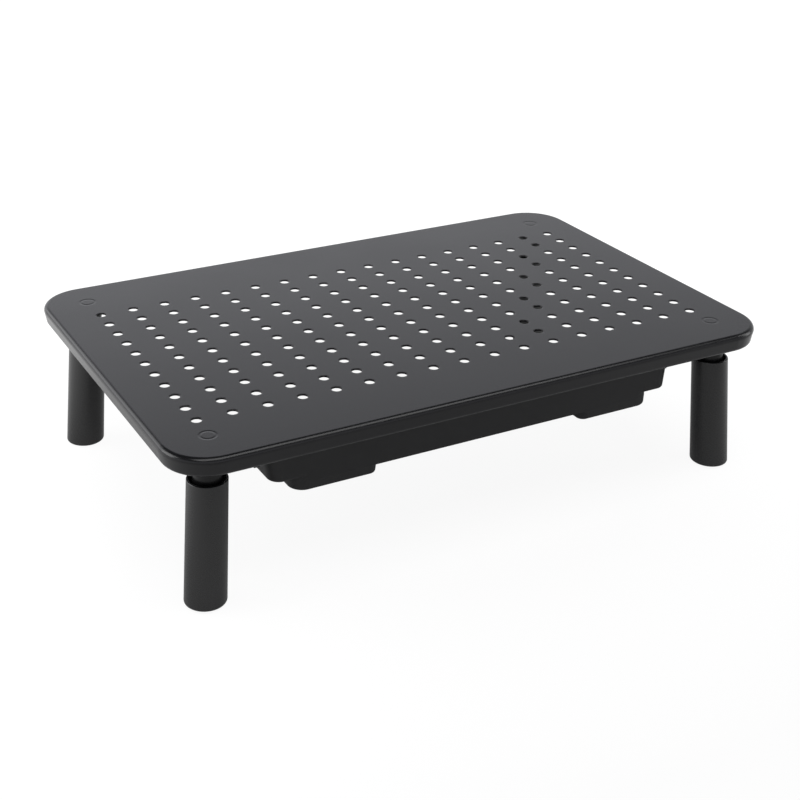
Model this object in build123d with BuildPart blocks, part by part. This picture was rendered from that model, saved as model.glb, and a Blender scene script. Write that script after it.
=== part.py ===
"""Height-adjustable monitor riser stand: perforated steel platform, four telescopic legs, pull-out pen drawer.

Millimetres. The origin is on the floor under the middle of the platform.
+X runs along the long side, to the right seen from the front, +Y to the back and +Z up.
"""
from build123d import *
from math import cos, radians, tan
import os

# ------------------------------------------------------------------ platform
TOTAL_HEIGHT = 83.0            # floor to top surface, legs at their lowest setting
PLATE_LENGTH = 374.0
PLATE_DEPTH = 240.0
PLATE_CORNER_RADIUS = 26.0
SHEET = 1.0                    # pressed steel thickness
SKIRT_HEIGHT = 10.0            # turned-down edge, measured from the top surface
SKIRT_DRAFT = 16.0             # degrees inwards, all round
TOP_EDGE_RADIUS = 2.4
LOWER_EDGE_RADIUS = 2.5
LIP_WIDTH = 6.5                # edge returned inwards under the skirt

HOLE_DIAMETER = 6.0
HOLE_COLUMNS = 17
HOLE_ROWS = 11
HOLE_PITCH_X = 20.0
HOLE_PITCH_Y = 15.0
HOLE_GRID_Y = -2.5             # middle of the hole grid, a little forward of the plate's

WELD_MARK_RADIUS = 4.2         # middle of the faint sunk ring that each leg stud leaves in the top surface
WELD_MARK_WIDTH = 1.8
WELD_MARK_DEPTH = 0.12

# ------------------------------------------------------------------ legs
LEG_X = 161.0
LEG_Y = 95.0
LIFT_STEP = 20.0               # distance between height settings
LIFT_STEPS = 2                 # settings above the lowest one

STEM_RADIUS = 7.7
STEM_BORE_RADIUS = 5.9
STEM_BOTTOM = 7.0
STEM_GUIDE_RADIUS = 7.92       # running band that guides the stem in its sleeve
STEM_GUIDE_HEIGHT = 3.0
STEM_LEAD_IN = 0.6             # chamfer on the bottom of the running band
SHOULDER_RADIUS = 8.6
SHOULDER_HEIGHT = 11.0
SHOULDER_CHAMFER = 0.8
STEM_HEAD_HEIGHT = 12.0        # solid top of the stem, around the threaded insert

SLEEVE_BASE_RADIUS = 10.95
SLEEVE_DRAFT = 0.25            # degrees, slimmer at the top
SLEEVE_BORE_RADIUS = 8.0
SLEEVE_BOTTOM = 0.8
SLEEVE_TOP = 62.0
SLEEVE_FLOOR = 6.0             # height of the sleeve's inner floor
SLEEVE_FOOT_RADIUS = 1.2
SLEEVE_RIM_RADIUS = 0.5
MOUTH_RADIUS = 9.6             # wider bore at the sleeve's open top
MOUTH_DEPTH = 3.5

KEY_WIDTH = 2.6                # rib in the sleeve that stops it turning on the stem
KEY_HEIGHT = 0.8
KEY_CLEARANCE = 0.2
KEYWAY_TOP = 60.5              # the stem's groove for the rib stops below the sleeve's mouth

PAD_RADIUS = 8.5
PAD_THICKNESS = 3.0
PAD_CLEARANCE = 0.1
PAD_GROOVE_RADIUS = 5.5
PAD_GROOVE_WIDTH = 1.0
PAD_GROOVE_DEPTH = 0.5
PAD_EDGE_RADIUS = 0.4

STUD_RADIUS = 2.95             # M6 stud, welded under the platform
STUD_LENGTH = 10.5
STUD_POINT = 1 / 6             # chamfer on a stud's end, as a share of its radius
INSERT_BORE_RADIUS = 3.0
INSERT_RADIUS = 4.25
INSERT_LENGTH = 10.0
INSERT_RECESS = 0.5            # insert set below the stem's top face
INSERT_POCKET_RADIUS = 4.3

# ------------------------------------------------------------------ height lock
BUTTON_HEIGHT = 14.0           # height of the lock button above the floor
BUTTON_RADIUS = 3.3
BUTTON_CLEARANCE = 0.1
BUTTON_TIP = 7.5               # tip's distance from the leg axis while held in
BUTTON_TIP_RADIUS = 0.8
BUTTON_COLLAR_RADIUS = 4.3
BUTTON_COLLAR_BACK = 2.1
BUTTON_COLLAR_THICKNESS = 1.2
BUTTON_POCKET_DEPTH = 6.4      # flat pocket that stops the collar, inside the stem wall
SLEEVE_HOLE_RADIUS = 3.5

CLIP_THICKNESS = 0.5           # U-shaped spring clip inside the stem
CLIP_WIDTH = 6.0
CLIP_BACK = -4.9               # outer face of the clip's fixed leg
CLIP_LEG_BOTTOM = 8.5
CLIP_BEND_HEIGHT = 27.0

# ------------------------------------------------------------------ pen drawer
DRAWER_SETBACK = 22.0          # drawer front behind the platform's front edge
DRAWER_DEPTH = 57.0
DRAWER_RIM_DROP = 11.5         # rim, shelf and floor, measured down from the top surface
DRAWER_SHELF_DROP = 31.7
DRAWER_NOTCH_DROP = 34.2
DRAWER_BOTTOM_DROP = 39.1
DRAWER_WIDTH_AT_RIM = 262.0
DRAWER_WIDTH_AT_SHELF = 253.0
DRAWER_CORNER_RADIUS = 7.0
DRAWER_WALL = 2.0
DRAWER_EDGE_RADIUS = 1.4

BELLY_WIDTH = 229.0            # deeper lower tier of the drawer
BELLY_DEPTH = 50.0
BELLY_CORNER_RADIUS = 9.0
BELLY_DRAFT = 7.0
NOTCH_WIDTH = 129.0            # finger notch under the drawer front
NOTCH_DEPTH = 18.0
NOTCH_CORNER_RADIUS = 5.0

BACK_WALL_DROP = 20.4          # the back wall is lower than the front
SLOPE_LENGTH = 24.0            # side walls ramp down over this length
BACK_LEVEL_LENGTH = 4.5

RUNNER_BOTTOM_DROP = 23.9      # runner bars along the drawer's sides
RUNNER_THICKNESS = 2.5
RUNNER_INNER_X = 127.2
RUNNER_OUTER_X = 131.6
RUNNER_FRONT_GAP = 9.5         # runner starts this far behind the drawer front
RUNNER_LENGTH = 46.0

# ------------------------------------------------------------------ drawer rails
RAIL_SHEET = 1.0
RAIL_WEB_X = 132.0             # inner face of the rail's web
RAIL_LIP_X = 129.8
RAIL_TOP_DROP = 20.0
RAIL_BOTTOM_DROP = 25.2
RAIL_FRONT_Y = -89.5
RAIL_BACK_Y = -40.0
HANGER_FRONT_Y = -110.5
HANGER_BACK_Y = -82.5
HANGER_NOSE = 3.0              # straight front edge above the hanger's slanted one
RAIL_FOOT_WIDTH = 14.0
RAIL_BOLT_X = 140.0
RAIL_BOLT_SPACING = 15.0
RAIL_HOLE_RADIUS = 2.2
RAIL_STUD_RADIUS = 1.95        # M4 stud, welded under the platform
RAIL_STUD_LENGTH = 7.5
NUT_BORE_RADIUS = 2.0
NUT_ACROSS_FLATS = 7.0
NUT_THICKNESS = 3.2

# ------------------------------------------------------------------ derived
PLATE_UNDERSIDE = TOTAL_HEIGHT - SHEET
SKIRT_BOTTOM = TOTAL_HEIGHT - SKIRT_HEIGHT
PLATE_FRONT = -PLATE_DEPTH / 2
# the rounded top edge eats this much of a drafted outline, so the outline is drawn wider by it
DRAFT_SLOPE = tan(radians(SKIRT_DRAFT))
DRAFT_STRETCH = 1 / cos(radians(SKIRT_DRAFT))
EDGE_GROWTH = TOP_EDGE_RADIUS * (DRAFT_SLOPE + DRAFT_STRETCH - 1)
UNDERSIDE_INSET = SHEET * (DRAFT_SLOPE + DRAFT_STRETCH) - EDGE_GROWTH
# radius of the arc that is one ring wide and one ring deep
WELD_MARK_CURVE = (WELD_MARK_WIDTH ** 2 / 4 + WELD_MARK_DEPTH ** 2) / (2 * WELD_MARK_DEPTH)
DRAWER_FRONT = PLATE_FRONT + DRAWER_SETBACK
DRAWER_BACK = DRAWER_FRONT + DRAWER_DEPTH
DRAWER_MIDDLE = (DRAWER_FRONT + DRAWER_BACK) / 2
DRAWER_RIM = TOTAL_HEIGHT - DRAWER_RIM_DROP
DRAWER_SHELF = TOTAL_HEIGHT - DRAWER_SHELF_DROP
DRAWER_NOTCH = TOTAL_HEIGHT - DRAWER_NOTCH_DROP
DRAWER_BOTTOM = TOTAL_HEIGHT - DRAWER_BOTTOM_DROP
BELLY_MIDDLE = DRAWER_FRONT + BELLY_DEPTH / 2
HANGER_MIDDLE = (HANGER_FRONT_Y + HANGER_BACK_Y) / 2

LEG_POSITIONS = {
    "front_left": (-LEG_X, -LEG_Y),
    "front_right": (LEG_X, -LEG_Y),
    "rear_left": (-LEG_X, LEG_Y),
    "rear_right": (LEG_X, LEG_Y),
}
RAIL_BOLT_POSITIONS = [
    (side * RAIL_BOLT_X, HANGER_MIDDLE + step * RAIL_BOLT_SPACING / 2) for side in (-1, 1) for step in (-1, 1)
]


def save(piece, name):
    """Label a finished piece and write it under its node name."""
    piece.label = name
    export_step(piece, f"parts/{name}.step")


def make_top_plate():
    """Pressed and perforated platform, with a turned-down skirt and a returned lip."""
    with BuildPart() as cavity:
        with BuildSketch(Plane.XY.offset(PLATE_UNDERSIDE)):
            wall = 2 * UNDERSIDE_INSET
            RectangleRounded(PLATE_LENGTH - wall, PLATE_DEPTH - wall, PLATE_CORNER_RADIUS - UNDERSIDE_INSET)
        extrude(amount=-(SKIRT_HEIGHT - 2 * SHEET), taper=SKIRT_DRAFT)
        fillet(cavity.edges().group_by(Axis.Z)[-1], TOP_EDGE_RADIUS - SHEET)
        fillet(cavity.edges().group_by(Axis.Z)[0], LOWER_EDGE_RADIUS - SHEET)
        with BuildSketch(Plane.XY.offset(SKIRT_BOTTOM - SHEET)):
            inset = 2 * (LIP_WIDTH + SHEET)
            RectangleRounded(PLATE_LENGTH - inset, PLATE_DEPTH - inset, PLATE_CORNER_RADIUS - inset / 2)
        extrude(amount=3 * SHEET)

    with BuildPart() as top_plate:
        with BuildSketch(Plane.XY.offset(TOTAL_HEIGHT)):
            growth = 2 * EDGE_GROWTH
            RectangleRounded(PLATE_LENGTH + growth, PLATE_DEPTH + growth, PLATE_CORNER_RADIUS + EDGE_GROWTH)
        extrude(amount=-SKIRT_HEIGHT, taper=SKIRT_DRAFT)
        fillet(top_plate.edges().group_by(Axis.Z)[-1], TOP_EDGE_RADIUS)
        fillet(top_plate.edges().group_by(Axis.Z)[0], LOWER_EDGE_RADIUS)
        add(cavity.part, mode=Mode.SUBTRACT)
        with BuildSketch(Plane.XY.offset(TOTAL_HEIGHT)):
            with Locations((0, HOLE_GRID_Y)):
                with GridLocations(HOLE_PITCH_X, HOLE_PITCH_Y, HOLE_COLUMNS, HOLE_ROWS):
                    Circle(HOLE_DIAMETER / 2)
        extrude(amount=-2 * SHEET, mode=Mode.SUBTRACT)
        for x, y in LEG_POSITIONS.values():
            with BuildSketch(Plane(origin=(x, y, TOTAL_HEIGHT), x_dir=(1, 0, 0), z_dir=(0, -1, 0))):
                with Locations((WELD_MARK_RADIUS, WELD_MARK_CURVE - WELD_MARK_DEPTH)):
                    Circle(WELD_MARK_CURVE)
            revolve(axis=Axis((x, y, 0), (0, 0, 1)), mode=Mode.SUBTRACT)
    return top_plate.part


def make_studs(positions, radius, length):
    """Plain studs standing down from the platform's underside."""
    with BuildPart() as studs:
        with BuildSketch(Plane.XY.offset(PLATE_UNDERSIDE)):
            with Locations(*positions):
                Circle(radius)
        extrude(amount=-length)
        chamfer(studs.edges().group_by(Axis.Z)[0], radius * STUD_POINT)
    return studs.part


def make_stem_inserts():
    """Threaded brass bushes, one in the head of each stem."""
    with BuildPart() as stem_inserts:
        with BuildSketch(Plane.XY.offset(PLATE_UNDERSIDE - INSERT_RECESS)):
            with Locations(*LEG_POSITIONS.values()):
                Circle(INSERT_RADIUS)
                Circle(INSERT_BORE_RADIUS, mode=Mode.SUBTRACT)
        extrude(amount=-INSERT_LENGTH)
    return stem_inserts.part


def make_leg_stem(leg, button_axis):
    """Fixed upper tube of a leg, screwed to its stud, with the lock button's guide hole low down."""
    with BuildPart() as leg_stem:
        with BuildSketch(leg.offset(STEM_BOTTOM)):
            Circle(STEM_RADIUS)
        extrude(amount=PLATE_UNDERSIDE - STEM_BOTTOM)
        with BuildSketch(leg.offset(STEM_BOTTOM)):
            Circle(STEM_GUIDE_RADIUS)
        extrude(amount=STEM_GUIDE_HEIGHT)
        chamfer(leg_stem.edges().group_by(Axis.Z)[0], STEM_LEAD_IN)
        with BuildSketch(leg.offset(PLATE_UNDERSIDE)):
            Circle(SHOULDER_RADIUS)
        extrude(amount=-SHOULDER_HEIGHT)
        shoulder_face = leg_stem.faces().filter_by(Axis.Z).group_by(Axis.Z)[-2]
        chamfer(shoulder_face.edges().sort_by(SortBy.LENGTH)[-1], SHOULDER_CHAMFER)
        with BuildSketch(leg.offset(STEM_BOTTOM)):
            Circle(STEM_BORE_RADIUS)
        extrude(amount=PLATE_UNDERSIDE - STEM_HEAD_HEIGHT - STEM_BOTTOM, mode=Mode.SUBTRACT)
        with BuildSketch(leg.offset(PLATE_UNDERSIDE)):
            Circle(INSERT_POCKET_RADIUS)
        extrude(amount=-(INSERT_RECESS + INSERT_LENGTH + INSERT_RECESS), mode=Mode.SUBTRACT)
        with BuildSketch(leg.offset(STEM_BOTTOM)):
            with Locations((0, -STEM_RADIUS)):
                Rectangle(KEY_WIDTH + 2 * KEY_CLEARANCE, 2 * (KEY_HEIGHT + KEY_CLEARANCE))
        extrude(amount=KEYWAY_TOP - STEM_BOTTOM, mode=Mode.SUBTRACT)
        with BuildSketch(button_axis):
            Circle(BUTTON_RADIUS + BUTTON_CLEARANCE)
        extrude(amount=SLEEVE_BASE_RADIUS, mode=Mode.SUBTRACT)
        with BuildSketch(button_axis):
            Circle(BUTTON_COLLAR_RADIUS + 2 * BUTTON_CLEARANCE)
        extrude(amount=BUTTON_POCKET_DEPTH, mode=Mode.SUBTRACT)
    return leg_stem.part


def make_leg_sleeve(leg, button_axis):
    """Sliding outer tube of a leg, with one lock hole per height setting."""
    with BuildPart() as leg_sleeve:
        with BuildSketch(leg.offset(SLEEVE_BOTTOM)):
            Circle(SLEEVE_BASE_RADIUS)
        extrude(amount=SLEEVE_TOP - SLEEVE_BOTTOM, taper=SLEEVE_DRAFT)
        fillet(leg_sleeve.edges().group_by(Axis.Z)[0], SLEEVE_FOOT_RADIUS)
        fillet(leg_sleeve.edges().group_by(Axis.Z)[-1], SLEEVE_RIM_RADIUS)
        with BuildSketch(leg.offset(SLEEVE_FLOOR)):
            Circle(SLEEVE_BORE_RADIUS)
        extrude(amount=SLEEVE_TOP - SLEEVE_FLOOR, mode=Mode.SUBTRACT)
        with BuildSketch(leg.offset(SLEEVE_TOP)):
            Circle(MOUTH_RADIUS)
        extrude(amount=-MOUTH_DEPTH, mode=Mode.SUBTRACT)
        with BuildSketch(leg.offset(SLEEVE_BOTTOM)):
            Circle(PAD_RADIUS + PAD_CLEARANCE)
        extrude(amount=PAD_THICKNESS - SLEEVE_BOTTOM, mode=Mode.SUBTRACT)
        with BuildSketch(leg.offset(SLEEVE_FLOOR)):
            with Locations((0, -SLEEVE_BORE_RADIUS)):
                Rectangle(KEY_WIDTH, 2 * KEY_HEIGHT)
        extrude(amount=SLEEVE_TOP - MOUTH_DEPTH - SLEEVE_FLOOR)
        with BuildSketch(button_axis):
            with Locations(*[(0, step * LIFT_STEP) for step in range(LIFT_STEPS + 1)]):
                Circle(SLEEVE_HOLE_RADIUS)
        extrude(amount=SLEEVE_BASE_RADIUS + 1, mode=Mode.SUBTRACT)
    return leg_sleeve.part


def make_lock_button(button_axis):
    """Push button, drawn held in, which comes out through the sleeve's hole to lock the leg."""
    with BuildPart() as lock_button:
        with BuildSketch(button_axis.offset(BUTTON_COLLAR_BACK)):
            Circle(BUTTON_COLLAR_RADIUS)
        extrude(amount=BUTTON_COLLAR_THICKNESS)
        with BuildSketch(button_axis.offset(BUTTON_COLLAR_BACK)):
            Circle(BUTTON_RADIUS)
        extrude(amount=BUTTON_TIP - BUTTON_COLLAR_BACK)
        fillet(lock_button.faces().sort_by(Axis.Y)[-1].edges(), BUTTON_TIP_RADIUS)
    return lock_button.part


def make_button_spring(leg, x, y):
    """U-shaped steel clip inside the stem, which pushes the button out."""
    side = Plane(origin=(x, y, 0), x_dir=(0, 1, 0), z_dir=(1, 0, 0))
    front = BUTTON_COLLAR_BACK - CLIP_THICKNESS / 2
    back = CLIP_BACK + CLIP_THICKNESS / 2
    with BuildPart() as button_spring:
        with BuildSketch(side):
            with BuildLine():
                free_leg = Line((front, CLIP_LEG_BOTTOM), (front, CLIP_BEND_HEIGHT))
                bend = ThreePointArc(
                    free_leg @ 1,
                    ((front + back) / 2, CLIP_BEND_HEIGHT + (front - back) / 2),
                    (back, CLIP_BEND_HEIGHT),
                )
                Line(bend @ 1, (back, CLIP_LEG_BOTTOM))
                offset(amount=CLIP_THICKNESS / 2, side=Side.BOTH, kind=Kind.ARC)
            make_face()
        extrude(amount=CLIP_WIDTH / 2, both=True)
    return button_spring.part


def make_foot_pad(leg):
    """Rubber pad set into the bottom of a sleeve."""
    with BuildPart() as foot_pad:
        with BuildSketch(leg):
            Circle(PAD_RADIUS)
        extrude(amount=PAD_THICKNESS)
        fillet(foot_pad.edges().group_by(Axis.Z)[0], PAD_EDGE_RADIUS)
        with BuildSketch(leg):
            Circle(PAD_GROOVE_RADIUS + PAD_GROOVE_WIDTH / 2)
            Circle(PAD_GROOVE_RADIUS - PAD_GROOVE_WIDTH / 2, mode=Mode.SUBTRACT)
        extrude(amount=PAD_GROOVE_DEPTH, mode=Mode.SUBTRACT)
    return foot_pad.part


def belly_outline(height, inset, with_notch):
    """Plan of the drawer's lower tier at one height, with or without the finger notch."""
    with BuildSketch(Plane.XY.offset(height)) as outline:
        with Locations((0, BELLY_MIDDLE)):
            RectangleRounded(BELLY_WIDTH - 2 * inset, BELLY_DEPTH - 2 * inset, BELLY_CORNER_RADIUS - inset)
        if with_notch:
            with Locations((0, DRAWER_FRONT)):
                Rectangle(NOTCH_WIDTH + 2 * inset, 2 * (NOTCH_DEPTH + inset), mode=Mode.SUBTRACT)
            front_corners = outline.vertices().group_by(Axis.Y)[0].sort_by(Axis.X)[1:-1]
            fillet(front_corners, NOTCH_CORNER_RADIUS)
    return outline.sketch


def drawer_body(inset, rim, shelf):
    """Upper tier of the drawer as a solid block, narrower at the shelf than at the rim."""
    with BuildPart() as body:
        for width, height in ((DRAWER_WIDTH_AT_SHELF, shelf), (DRAWER_WIDTH_AT_RIM, rim)):
            with BuildSketch(Plane.XY.offset(height)):
                with Locations((0, DRAWER_MIDDLE)):
                    RectangleRounded(width - 2 * inset, DRAWER_DEPTH - 2 * inset, DRAWER_CORNER_RADIUS - inset)
        loft()
        fillet(body.edges().group_by(Axis.Z)[0], DRAWER_EDGE_RADIUS)
    return body.part


def make_drawer():
    """Moulded pen drawer: a two-tier tub with a finger notch, a low back wall and two runner bars."""
    with BuildPart() as drawer:
        add(drawer_body(0, DRAWER_RIM, DRAWER_SHELF))
        add(belly_outline(DRAWER_SHELF + DRAWER_EDGE_RADIUS, 0, False))
        extrude(amount=-(DRAWER_EDGE_RADIUS + DRAWER_SHELF - DRAWER_NOTCH))
        add(belly_outline(DRAWER_NOTCH, 0, True))
        extrude(amount=-(DRAWER_NOTCH - DRAWER_BOTTOM), taper=BELLY_DRAFT)
        fillet(drawer.edges().group_by(Axis.Z)[0], DRAWER_EDGE_RADIUS)

        add(drawer_body(DRAWER_WALL, DRAWER_RIM, DRAWER_SHELF + DRAWER_WALL), mode=Mode.SUBTRACT)
        add(belly_outline(DRAWER_SHELF + 2 * DRAWER_WALL, DRAWER_WALL, False))
        extrude(amount=-(DRAWER_SHELF + DRAWER_WALL - DRAWER_NOTCH), mode=Mode.SUBTRACT)
        add(belly_outline(DRAWER_NOTCH + DRAWER_WALL, DRAWER_WALL, True))
        extrude(amount=-(DRAWER_NOTCH - DRAWER_BOTTOM), taper=BELLY_DRAFT, mode=Mode.SUBTRACT)

        with BuildSketch(Plane.YZ):
            with BuildLine():
                ramp_end = DRAWER_BACK - BACK_LEVEL_LENGTH
                back_top = TOTAL_HEIGHT - BACK_WALL_DROP
                Polyline(
                    (ramp_end - SLOPE_LENGTH, DRAWER_RIM + 1),
                    (ramp_end - SLOPE_LENGTH, DRAWER_RIM),
                    (ramp_end, back_top),
                    (DRAWER_BACK + 1, back_top),
                    (DRAWER_BACK + 1, DRAWER_RIM + 1),
                    close=True,
                )
            make_face()
        extrude(amount=DRAWER_WIDTH_AT_RIM, both=True, mode=Mode.SUBTRACT)

        runner_y = DRAWER_FRONT + RUNNER_FRONT_GAP + RUNNER_LENGTH / 2
        with BuildSketch(Plane.XY.offset(TOTAL_HEIGHT - RUNNER_BOTTOM_DROP)):
            for side in (-1, 1):
                with Locations((side * (RUNNER_INNER_X + RUNNER_OUTER_X) / 2, runner_y)):
                    Rectangle(RUNNER_OUTER_X - RUNNER_INNER_X, RUNNER_LENGTH)
        extrude(amount=RUNNER_THICKNESS)
    return drawer.part


def make_drawer_rail(side):
    """Folded steel rail: a C channel for the runner bar, hung from a gusseted foot. side is -1 or 1."""
    top = TOTAL_HEIGHT - RAIL_TOP_DROP
    bottom = TOTAL_HEIGHT - RAIL_BOTTOM_DROP
    web_outer = RAIL_WEB_X + RAIL_SHEET
    length = RAIL_BACK_Y - RAIL_FRONT_Y
    with BuildPart() as rail:
        with BuildSketch(Plane(origin=(0, RAIL_BACK_Y, 0), x_dir=(1, 0, 0), z_dir=(0, -1, 0))):
            with Locations((side * (RAIL_LIP_X + web_outer) / 2, (top + bottom) / 2)):
                Rectangle(web_outer - RAIL_LIP_X, top - bottom)
            with Locations((side * (RAIL_LIP_X + RAIL_WEB_X) / 2, (top + bottom) / 2)):
                Rectangle(RAIL_WEB_X - RAIL_LIP_X, top - bottom - 2 * RAIL_SHEET, mode=Mode.SUBTRACT)
        extrude(amount=length)
        with BuildSketch(Plane.XY.offset(bottom)):
            with Locations((side * (RAIL_LIP_X + web_outer) / 2, RAIL_BACK_Y - RAIL_SHEET / 2)):
                Rectangle(web_outer - RAIL_LIP_X, RAIL_SHEET)
        extrude(amount=top - bottom)
        with BuildSketch(Plane.YZ.offset(side * RAIL_WEB_X)):
            with BuildLine():
                Polyline(
                    (HANGER_FRONT_Y, PLATE_UNDERSIDE),
                    (HANGER_BACK_Y, PLATE_UNDERSIDE),
                    (HANGER_BACK_Y, bottom),
                    (RAIL_FRONT_Y, bottom),
                    (RAIL_FRONT_Y, top),
                    (HANGER_FRONT_Y, PLATE_UNDERSIDE - HANGER_NOSE),
                    close=True,
                )
            make_face()
        extrude(amount=side * RAIL_SHEET)
        with BuildSketch(Plane.XY.offset(PLATE_UNDERSIDE)):
            with Locations((side * (RAIL_WEB_X + RAIL_FOOT_WIDTH / 2), HANGER_MIDDLE)):
                Rectangle(RAIL_FOOT_WIDTH, HANGER_BACK_Y - HANGER_FRONT_Y)
            with Locations(*[spot for spot in RAIL_BOLT_POSITIONS if spot[0] * side > 0]):
                Circle(RAIL_HOLE_RADIUS, mode=Mode.SUBTRACT)
        extrude(amount=-RAIL_SHEET)
    return rail.part


def make_rail_nuts():
    """Hexagon nuts under the rails' feet."""
    with BuildPart() as rail_nuts:
        with BuildSketch(Plane.XY.offset(PLATE_UNDERSIDE - RAIL_SHEET)):
            with Locations(*RAIL_BOLT_POSITIONS):
                RegularPolygon(NUT_ACROSS_FLATS / 2, 6, major_radius=False)
                Circle(NUT_BORE_RADIUS, mode=Mode.SUBTRACT)
        extrude(amount=-NUT_THICKNESS)
    return rail_nuts.part


os.makedirs("parts", exist_ok=True)

save(make_top_plate(), "top_plate")
save(make_studs(LEG_POSITIONS.values(), STUD_RADIUS, STUD_LENGTH), "leg_studs")
save(make_stem_inserts(), "stem_inserts")
save(make_drawer(), "pen_drawer")
save(make_drawer_rail(-1), "drawer_rail_left")
save(make_drawer_rail(1), "drawer_rail_right")
save(make_studs(RAIL_BOLT_POSITIONS, RAIL_STUD_RADIUS, RAIL_STUD_LENGTH), "rail_studs")
save(make_rail_nuts(), "rail_nuts")

for corner, (x, y) in LEG_POSITIONS.items():
    leg = Plane(origin=(x, y, 0))
    button_axis = Plane(origin=(x, y, BUTTON_HEIGHT), x_dir=(-1, 0, 0), z_dir=(0, 1, 0))
    save(make_leg_stem(leg, button_axis), f"leg_stem_{corner}")
    save(make_leg_sleeve(leg, button_axis), f"leg_sleeve_{corner}")
    save(make_lock_button(button_axis), f"lock_button_{corner}")
    save(make_button_spring(leg, x, y), f"button_spring_{corner}")
    save(make_foot_pad(leg), f"foot_pad_{corner}")
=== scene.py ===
from math import pi, radians

import bpy
from mathutils import Matrix, Vector


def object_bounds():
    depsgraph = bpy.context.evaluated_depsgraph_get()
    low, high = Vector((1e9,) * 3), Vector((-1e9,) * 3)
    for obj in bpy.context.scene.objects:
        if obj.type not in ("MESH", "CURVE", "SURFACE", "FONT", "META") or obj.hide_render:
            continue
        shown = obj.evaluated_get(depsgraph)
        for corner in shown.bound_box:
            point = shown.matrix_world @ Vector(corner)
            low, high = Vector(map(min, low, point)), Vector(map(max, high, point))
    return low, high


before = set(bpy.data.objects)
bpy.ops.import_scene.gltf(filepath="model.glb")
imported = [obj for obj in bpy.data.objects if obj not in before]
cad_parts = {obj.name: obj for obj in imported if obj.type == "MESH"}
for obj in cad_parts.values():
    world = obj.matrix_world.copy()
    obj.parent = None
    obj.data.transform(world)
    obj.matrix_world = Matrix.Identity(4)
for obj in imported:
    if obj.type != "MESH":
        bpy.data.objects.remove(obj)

MM = 0.001

CAD_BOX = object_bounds()
CENTRE_X = (CAD_BOX[0].x + CAD_BOX[1].x) / 2
CENTRE_Y = (CAD_BOX[0].y + CAD_BOX[1].y) / 2
TOP_SURFACE = CAD_BOX[1].z

# ------------------------------------------------------------------ camera
# the camera looks along the floor with its lens shifted down, so that upright edges stay parallel, and is
# rolled a little
CAMERA_OFFSET = Vector((-0.46387, -0.81586, 0.36926))   # from the middle of the top surface
CAMERA_YAW = radians(-28.283)
CAMERA_ROLL = radians(0.8)
SENSOR_WIDTH = 36.0            # mm
FOCAL_LENGTH = 70.3206         # mm
LENS_SHIFT = (0.03939, -0.88031)                        # in picture widths, to the right and up
SAME_PLACE = 0.0005            # how far the camera may be from its own place and still keep its lens shift

# ------------------------------------------------------------------ studio
FLOOR_RADIUS = 30.0
FLOOR_TONE = 0.38
FLOOR_SPREAD = 0.02            # cloudiness of its tone
FLOOR_CLOUD_SIZE = 0.6         # m
FLOOR_ROUGHNESS = 0.9
FLOOR_GLOW = 0.75              # painted light: extra brightness of the open floor, glowing in place of lamplight on it, mostly seen as reflections on the stand
GLOW_FRONT_SHARE = 0.05        # share of the glow in front of the stand
GLOW_Y_SPAN = (-0.30, 0.15)    # where it grows from that share to all of it
GLOW_NEAR_SHARE = 0.30         # share of the glow left under the middle of the stand, dimmed there as painted shade
GLOW_NEAR_SPAN = (0.15, 0.32)  # distances from the middle over which it grows to all of it
GLOW_FAR_SPAN = (0.8, 1.8)     # distances over which the floor glows all round
BACKDROP_TONE = 1.0            # what the camera sees beyond the floor
SHADOW_LIFT = 0.75             # share of plain white in the floor, seen by the camera only
LIFT_BRIGHTNESS = 1.18

# brightness of the surroundings by how steeply a direction points up, from level (0) to straight up (1)
SKY_STOPS = ((0.0, 1.00), (0.30, 1.11), (0.36, 0.98), (0.45, 0.60), (0.58, 0.20), (0.75, 0.05), (1.0, 0.08))
SKY_TINT = (0.99, 1.0, 1.05)
SKY_FRONT_SHARE = 0.65         # the surroundings are dimmer towards the front
SKY_DEPTH_SPAN = (-0.7, 0.7)
SKY_RIGHT_SHARE = 0.60         # and towards the right
SKY_SIDE_SPAN = (0.25, 0.70)


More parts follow.
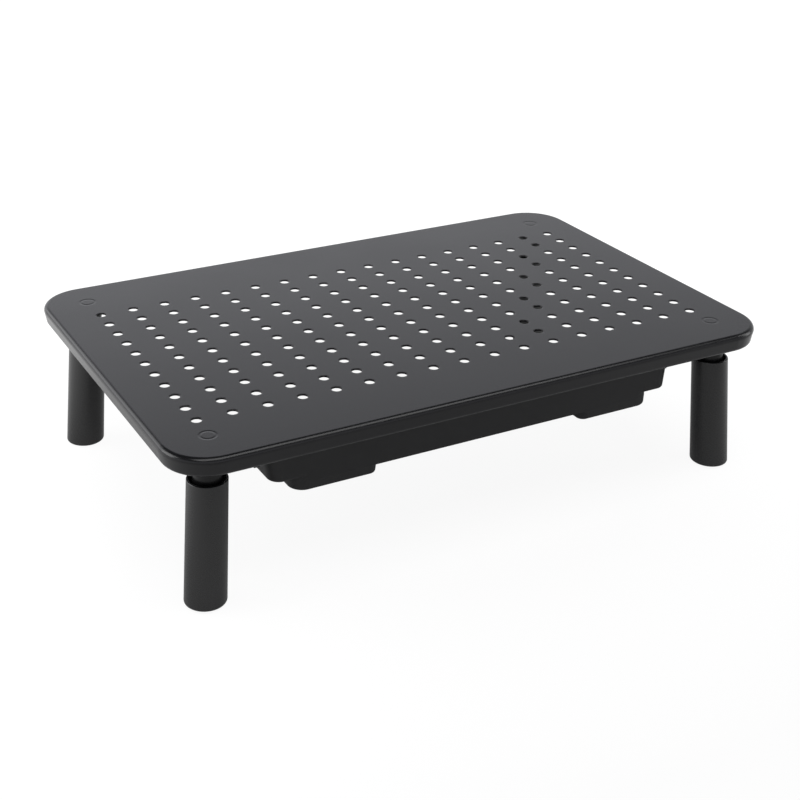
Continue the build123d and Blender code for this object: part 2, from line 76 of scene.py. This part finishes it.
class Finish:
    """A material's node tree, built from the few kinds of node that the finishes share."""

    def __init__(self, name):
        self.material = bpy.data.materials.new(name)
        self.material.use_nodes = True
        self.tree = self.material.node_tree
        self.surface = self.tree.nodes["Principled BSDF"]
        self.position = self.tree.nodes.new("ShaderNodeTexCoord").outputs["Object"]

    def set(self, socket, value):
        """Link a socket to another one, or give it a plain value."""
        if isinstance(value, bpy.types.NodeSocket):
            self.tree.links.new(value, socket)
        else:
            socket.default_value = value

    def add(self, kind, inputs, **settings):
        """Add one node, with its inputs given by name or number."""
        node = self.tree.nodes.new("ShaderNode" + kind)
        for setting, value in settings.items():
            setattr(node, setting, value)
        for socket, value in inputs.items():
            self.set(node.inputs[socket], value)
        return node

    def noise(self, size, detail=2.0, stretch=(1.0, 1.0, 1.0)):
        """Soft noise with features about one size across, drawn out by the stretch along each axis."""
        scale = [1.0 / (size * part) for part in stretch]
        place = self.add("Mapping", {"Vector": self.position, "Scale": scale})
        texture = self.add("TexNoise", {"Vector": place.outputs[0], "Scale": 1.0, "Detail": detail})
        return texture.outputs["Fac"]

    def span(self, value, low, high, start=0.3, end=0.7):
        """Carry a 0 to 1 pattern over to a range of another quantity."""
        limits = {"From Min": start, "From Max": end, "To Min": low, "To Max": high}
        return self.add("MapRange", {"Value": value, **limits}).outputs["Result"]

    def blend(self, amount, first, second):
        """Mix two colours."""
        mix = self.add("Mix", {"Factor": amount}, data_type="RGBA")
        self.set(mix.inputs["A"], (*first, 1.0) if isinstance(first, tuple) else first)
        self.set(mix.inputs["B"], (*second, 1.0) if isinstance(second, tuple) else second)
        return mix.outputs["Result"]

    def relief(self, height, depth, below=None):
        """Bump of a given depth in metres, over the relief below it."""
        inputs = {"Height": height, "Distance": depth, "Strength": 1.0}
        if below is not None:
            inputs["Normal"] = below
        return self.add("Bump", inputs).outputs["Normal"]

    def edges(self, radius):
        """A mask that is near 1 on sharp edges and corners, and the softened normal it comes from."""
        softened = self.add("Bevel", {"Radius": radius}, samples=6).outputs["Normal"]
        plain = self.add("NewGeometry", {}).outputs["Normal"]
        turn = self.add("VectorMath", {0: softened, 1: plain}, operation="DOT_PRODUCT").outputs["Value"]
        return self.span(turn, 1.0, 0.0, start=0.80, end=0.995), softened

    def finish(self, **inputs):
        """Set the surface's own inputs and hand over the material."""
        for name, value in inputs.items():
            self.set(self.surface.inputs[name.replace("_", " ").title().replace("Ior", "IOR")], value)
        return self.material


def platform_coat():
    """Fine satin powder coat on the pressed steel: faint orange peel, a trace of cloudiness, paler edges."""
    coat = Finish("platform_coat")
    edge, rounded = coat.edges(0.8 * MM)
    cloud = coat.noise(70 * MM, detail=3)
    grain = coat.noise(0.45 * MM, detail=2)
    peel = coat.noise(2.2 * MM, detail=1)
    dark, light = (0.0045, 0.0045, 0.0054), (0.0062, 0.0062, 0.0072)
    tone = coat.blend(coat.span(cloud, 0.0, 1.0), dark, light)
    tone = coat.blend(coat.span(grain, 0.0, 0.25), tone, (0.012, 0.012, 0.013))
    tone = coat.blend(coat.span(edge, 0.0, 0.35, start=0.0, end=1.0), tone, (0.016, 0.016, 0.017))
    gloss = coat.add(
        "Math", {0: coat.span(cloud, 0.19, 0.24), 1: coat.span(grain, -0.02, 0.03)}, operation="ADD")
    normal = coat.relief(peel, 0.006 * MM, rounded)
    normal = coat.relief(grain, 0.004 * MM, normal)
    return coat.finish(
        base_color=tone, roughness=gloss.outputs[0], normal=normal, specular_ior_level=0.42)


def moulded_plastic(name, dark, light, gloss, grain_size, grain_depth, draw=1.0, shine=0.4):
    """Moulded plastic with a fine spark-eroded grain; draw stretches its cloudiness upwards."""
    plastic = Finish(name)
    edge, rounded = plastic.edges(0.25 * MM)
    flow = plastic.noise(9 * MM, detail=2, stretch=(1.0, 1.0, draw))
    grain = plastic.noise(grain_size, detail=3)
    tone = plastic.blend(plastic.span(flow, 0.0, 1.0), dark, light)
    worn = tuple(2.2 * part for part in light)
    tone = plastic.blend(plastic.span(edge, 0.0, 0.4, start=0.0, end=1.0), tone, worn)
    rough = plastic.add(
        "Math", {0: plastic.span(flow, gloss - 0.03, gloss + 0.03), 1: plastic.span(grain, -0.03, 0.04)},
        operation="ADD")
    normal = plastic.relief(grain, grain_depth, rounded)
    return plastic.finish(
        base_color=tone, roughness=rough.outputs[0], normal=normal, specular_ior_level=shine)


def leg_plastic():
    """Satin sleeves with faint upright flow lines."""
    return moulded_plastic(
        "leg_plastic", dark=(0.0045, 0.0045, 0.0046), light=(0.0070, 0.0070, 0.0071), gloss=0.27,
        grain_size=0.35 * MM, grain_depth=0.002 * MM, draw=7.0, shine=0.72)


def stem_plastic():
    """Smoother and darker inner tubes."""
    return moulded_plastic(
        "stem_plastic", dark=(0.005, 0.005, 0.0052), light=(0.007, 0.007, 0.0072), gloss=0.28,
        grain_size=0.25 * MM, grain_depth=0.002 * MM, draw=7.0)


def button_plastic():
    """Lock buttons, polished by use."""
    return moulded_plastic(
        "button_plastic", dark=(0.013, 0.013, 0.013), light=(0.018, 0.018, 0.018), gloss=0.30,
        grain_size=0.25 * MM, grain_depth=0.002 * MM)


def drawer_plastic():
    """Drawer moulding with a matt grained texture."""
    return moulded_plastic(
        "drawer_plastic", dark=(0.0135, 0.0135, 0.0138), light=(0.0175, 0.0175, 0.0178), gloss=0.50,
        grain_size=0.55 * MM, grain_depth=0.012 * MM)


def pad_rubber():
    """Matt rubber with pale dust specks."""
    rubber = Finish("pad_rubber")
    grain = rubber.noise(0.5 * MM, detail=4)
    cloud = rubber.noise(6 * MM, detail=2)
    tone = rubber.blend(rubber.span(cloud, 0.0, 1.0), (0.012, 0.012, 0.012), (0.022, 0.022, 0.021))
    tone = rubber.blend(rubber.span(grain, 0.0, 0.3, start=0.55, end=0.75), tone, (0.09, 0.088, 0.084))
    rough = rubber.span(grain, 0.72, 0.88)
    return rubber.finish(
        base_color=tone, roughness=rough, normal=rubber.relief(grain, 0.03 * MM), specular_ior_level=0.3)


def rail_coat():
    """Satin black coat on the folded rails, rubbed brighter along its edges."""
    coat = Finish("rail_coat")
    edge, rounded = coat.edges(0.3 * MM)
    grain = coat.noise(0.5 * MM, detail=2)
    rub = coat.noise(5 * MM, detail=4)
    worn = coat.add("Math", {0: edge, 1: coat.span(rub, 0.0, 0.9, start=0.5, end=0.65)}, operation="MULTIPLY")
    tone = coat.blend(coat.span(grain, 0.0, 1.0), (0.012, 0.012, 0.0125), (0.018, 0.018, 0.0185))
    tone = coat.blend(worn.outputs[0], tone, (0.11, 0.11, 0.11))
    rough = coat.span(grain, 0.36, 0.44)
    normal = coat.relief(grain, 0.005 * MM, rounded)
    return coat.finish(base_color=tone, roughness=rough, normal=normal, specular_ior_level=0.45)


def bare_metal(name, dark, light, gloss, stretch):
    """Plated or drawn metal: streaks along its length, duller where the plating is cloudy."""
    metal = Finish(name)
    edge, rounded = metal.edges(0.15 * MM)
    streak = metal.noise(0.3 * MM, detail=3, stretch=stretch)
    cloud = metal.noise(3 * MM, detail=3)
    tone = metal.blend(metal.span(cloud, 0.0, 1.0), dark, light)
    tone = metal.blend(metal.span(edge, 0.0, 0.5, start=0.0, end=1.0), tone, light)
    rough = metal.add(
        "Math", {0: metal.span(cloud, gloss - 0.05, gloss + 0.08), 1: metal.span(streak, -0.05, 0.06)},
        operation="ADD")
    normal = metal.relief(streak, 0.004 * MM, rounded)
    return metal.finish(base_color=tone, metallic=1.0, roughness=rough.outputs[0], normal=normal)


def zinc_steel():
    """Bright zinc plating on the studs and nuts."""
    return bare_metal(
        "zinc_steel", dark=(0.42, 0.43, 0.45), light=(0.66, 0.67, 0.69), gloss=0.34,
        stretch=(1.0, 1.0, 0.35))


def spring_steel():
    """Drawn spring strip."""
    return bare_metal(
        "spring_steel", dark=(0.30, 0.30, 0.31), light=(0.50, 0.50, 0.51), gloss=0.30,
        stretch=(1.0, 1.0, 12.0))


def insert_brass():
    """Turned brass bushes."""
    return bare_metal(
        "insert_brass", dark=(0.52, 0.36, 0.14), light=(0.74, 0.55, 0.24), gloss=0.32,
        stretch=(8.0, 8.0, 1.0))


FINISHES = (
    platform_coat, rail_coat, leg_plastic, stem_plastic, button_plastic, drawer_plastic, pad_rubber,
    zinc_steel, spring_steel, insert_brass)


def dress_nodes():
    """Give every CAD node the finish of its material slot."""
    made = {make.__name__: make() for make in FINISHES}
    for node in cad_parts.values():
        slot = node.material_slots[0].material.name
        node.material_slots[0].material = made[slot]


def add_floor():
    """Plain pale floor that glows with painted light behind, beside and far from the stand, dimmed under it
    as painted shade; the camera sees its shadows lightened.
    """
    bpy.ops.mesh.primitive_circle_add(vertices=96, radius=FLOOR_RADIUS, fill_type="NGON", location=(0, 0, 0))
    floor = bpy.context.object
    floor.name = "floor"
    look = Finish("floor")
    cloud = look.noise(FLOOR_CLOUD_SIZE, detail=2)
    tone = look.blend(look.span(cloud, 0.0, 1.0), (FLOOR_TONE,) * 3, (FLOOR_TONE + FLOOR_SPREAD,) * 3)
    look.finish(base_color=tone, roughness=FLOOR_ROUGHNESS, specular_ior_level=0.1)
    axes = look.add("SeparateXYZ", {0: look.position}).outputs
    reach = look.add("VectorMath", {0: look.position}, operation="LENGTH").outputs["Value"]
    back = look.span(axes["Y"], GLOW_FRONT_SHARE, 1.0, *GLOW_Y_SPAN)
    # painted shade: the glow fades under the stand, where its shadow falls on the floor
    painted_shade_under_stand = look.span(reach, GLOW_NEAR_SHARE, 1.0, *GLOW_NEAR_SPAN)
    far = look.span(reach, 0.0, 1.0, *GLOW_FAR_SPAN)
    painted_glow_reach = look.add("Math", {0: back, 1: far}, operation="MAXIMUM").outputs[0]
    share = look.add("Math", {0: painted_glow_reach, 1: painted_shade_under_stand}, operation="MULTIPLY").outputs[0]
    strength = look.add("Math", {0: share, 1: FLOOR_GLOW}, operation="MULTIPLY").outputs[0]
    # painted light: the floor glows though it is no lamp, brighter behind, beside and far from the stand
    painted_floor_glow = look.add("Emission", {"Strength": strength})
    lit_plus_painted_glow = look.add("AddShader", {0: look.surface.outputs[0], 1: painted_floor_glow.outputs[0]})
    white = look.add("Emission", {"Strength": LIFT_BRIGHTNESS})
    eye = look.add("LightPath", {}).outputs["Is Camera Ray"]
    lift = look.add("Math", {0: eye, 1: SHADOW_LIFT}, operation="MULTIPLY").outputs[0]
    mix = look.add("MixShader", {0: lift, 1: lit_plus_painted_glow.outputs[0], 2: white.outputs[0]})
    look.set(look.tree.nodes["Material Output"].inputs["Surface"], mix.outputs[0])
    floor.data.materials.append(look.material)


def add_surroundings():
    """Soft light from all round, brightest low down at the back, and a plain pale backdrop for the camera."""
    world = bpy.data.worlds.new("surroundings")
    bpy.context.scene.world = world
    world.use_nodes = True
    tree = world.node_tree
    nodes, link = tree.nodes, tree.links.new
    direction = nodes.new("ShaderNodeTexCoord").outputs["Generated"]
    split = nodes.new("ShaderNodeSeparateXYZ")
    link(direction, split.inputs[0])
    height = nodes.new("ShaderNodeValToRGB")
    ramp = height.color_ramp
    while len(ramp.elements) < len(SKY_STOPS):
        ramp.elements.new(0.5)
    for element, (place, tone) in zip(ramp.elements, SKY_STOPS):
        element.position = place
        element.color = (*(tone * part for part in SKY_TINT), 1.0)
    link(split.outputs["Z"], height.inputs[0])
    factors = []
    for axis, span, shares in (
            ("Y", SKY_DEPTH_SPAN, (SKY_FRONT_SHARE, 1.0)), ("X", SKY_SIDE_SPAN, (1.0, SKY_RIGHT_SHARE))):
        factor = nodes.new("ShaderNodeMapRange")
        for name, value in zip(("From Min", "From Max", "To Min", "To Max"), span + shares):
            factor.inputs[name].default_value = value
        link(split.outputs[axis], factor.inputs["Value"])
        factors.append(factor)
    share = nodes.new("ShaderNodeMath")
    share.operation = "MULTIPLY"
    link(factors[0].outputs[0], share.inputs[0])
    link(factors[1].outputs[0], share.inputs[1])
    glow = nodes["Background"]
    link(height.outputs[0], glow.inputs["Color"])
    link(share.outputs[0], glow.inputs["Strength"])
    backdrop = nodes.new("ShaderNodeBackground")
    backdrop.inputs["Color"].default_value = (BACKDROP_TONE, BACKDROP_TONE, BACKDROP_TONE, 1.0)
    eye = nodes.new("ShaderNodeLightPath").outputs["Is Camera Ray"]
    mix = nodes.new("ShaderNodeMixShader")
    link(eye, mix.inputs[0])
    link(glow.outputs[0], mix.inputs[1])
    link(backdrop.outputs[0], mix.inputs[2])
    link(mix.outputs[0], nodes["World Output"].inputs["Surface"])


def add_softbox(name, offset, width, height, brightness):
    """Rectangular soft light, aimed at the middle of the platform; brightness is its face's radiance."""
    light = bpy.data.lights.new(name, "AREA")
    light.shape = "RECTANGLE"
    light.size = width
    light.size_y = height
    light.energy = brightness * pi * width * height
    box = bpy.data.objects.new(name, light)
    box.location = Vector((CENTRE_X, CENTRE_Y, TOP_SURFACE)) + Vector(offset)
    box.rotation_euler = (-Vector(offset)).to_track_quat("-Z", "Y").to_euler()
    box.visible_camera = False
    bpy.context.scene.collection.objects.link(box)


def add_lights():
    """An overhead bank, a box on the left, a strip on the right and a weaker box behind on the left."""
    add_softbox("overhead", offset=(0.05, -0.50, 1.20), width=1.8, height=0.8, brightness=2.6)
    add_softbox("left_box", offset=(-1.15, 0.45, 0.55), width=0.8, height=0.8, brightness=3.2)
    add_softbox("right_strip", offset=(1.10, -0.35, 0.40), width=0.35, height=0.9, brightness=2.5)
    add_softbox("back_left_box", offset=(-0.70, 1.00, 0.45), width=0.7, height=0.7, brightness=1.1)


def hold_shift(camera, path, shift):
    """Keep a lens shift only while the camera is at its own place, so that other viewpoints stay centred."""
    driver = camera.data.driver_add(path).driver
    place = driver.variables.new()
    place.name = "x"
    place.type = "TRANSFORMS"
    place.targets[0].id = camera
    place.targets[0].transform_type = "LOC_X"
    place.targets[0].transform_space = "WORLD_SPACE"
    driver.expression = f"{shift:.6f} if abs(x - ({camera.location.x:.6f})) < {SAME_PLACE} else 0.0"


def add_camera():
    """The picture's own viewpoint."""
    lens = bpy.data.cameras.new("camera")
    lens.sensor_width = SENSOR_WIDTH
    lens.lens = FOCAL_LENGTH
    lens.clip_start = 0.05
    lens.clip_end = 100.0
    camera = bpy.data.objects.new("camera", lens)
    camera.location = Vector((CENTRE_X, CENTRE_Y, TOP_SURFACE)) + CAMERA_OFFSET
    turn = Matrix.Rotation(CAMERA_YAW, 3, "Z") @ Matrix.Rotation(pi / 2, 3, "X")
    camera.rotation_euler = (turn @ Matrix.Rotation(CAMERA_ROLL, 3, "Z")).to_euler()
    bpy.context.scene.collection.objects.link(camera)
    bpy.context.scene.camera = camera
    hold_shift(camera, "shift_x", LENS_SHIFT[0])
    hold_shift(camera, "shift_y", LENS_SHIFT[1])


dress_nodes()
add_floor()
add_surroundings()
add_lights()
add_camera()
bpy.context.scene.view_settings.view_transform = "Standard"
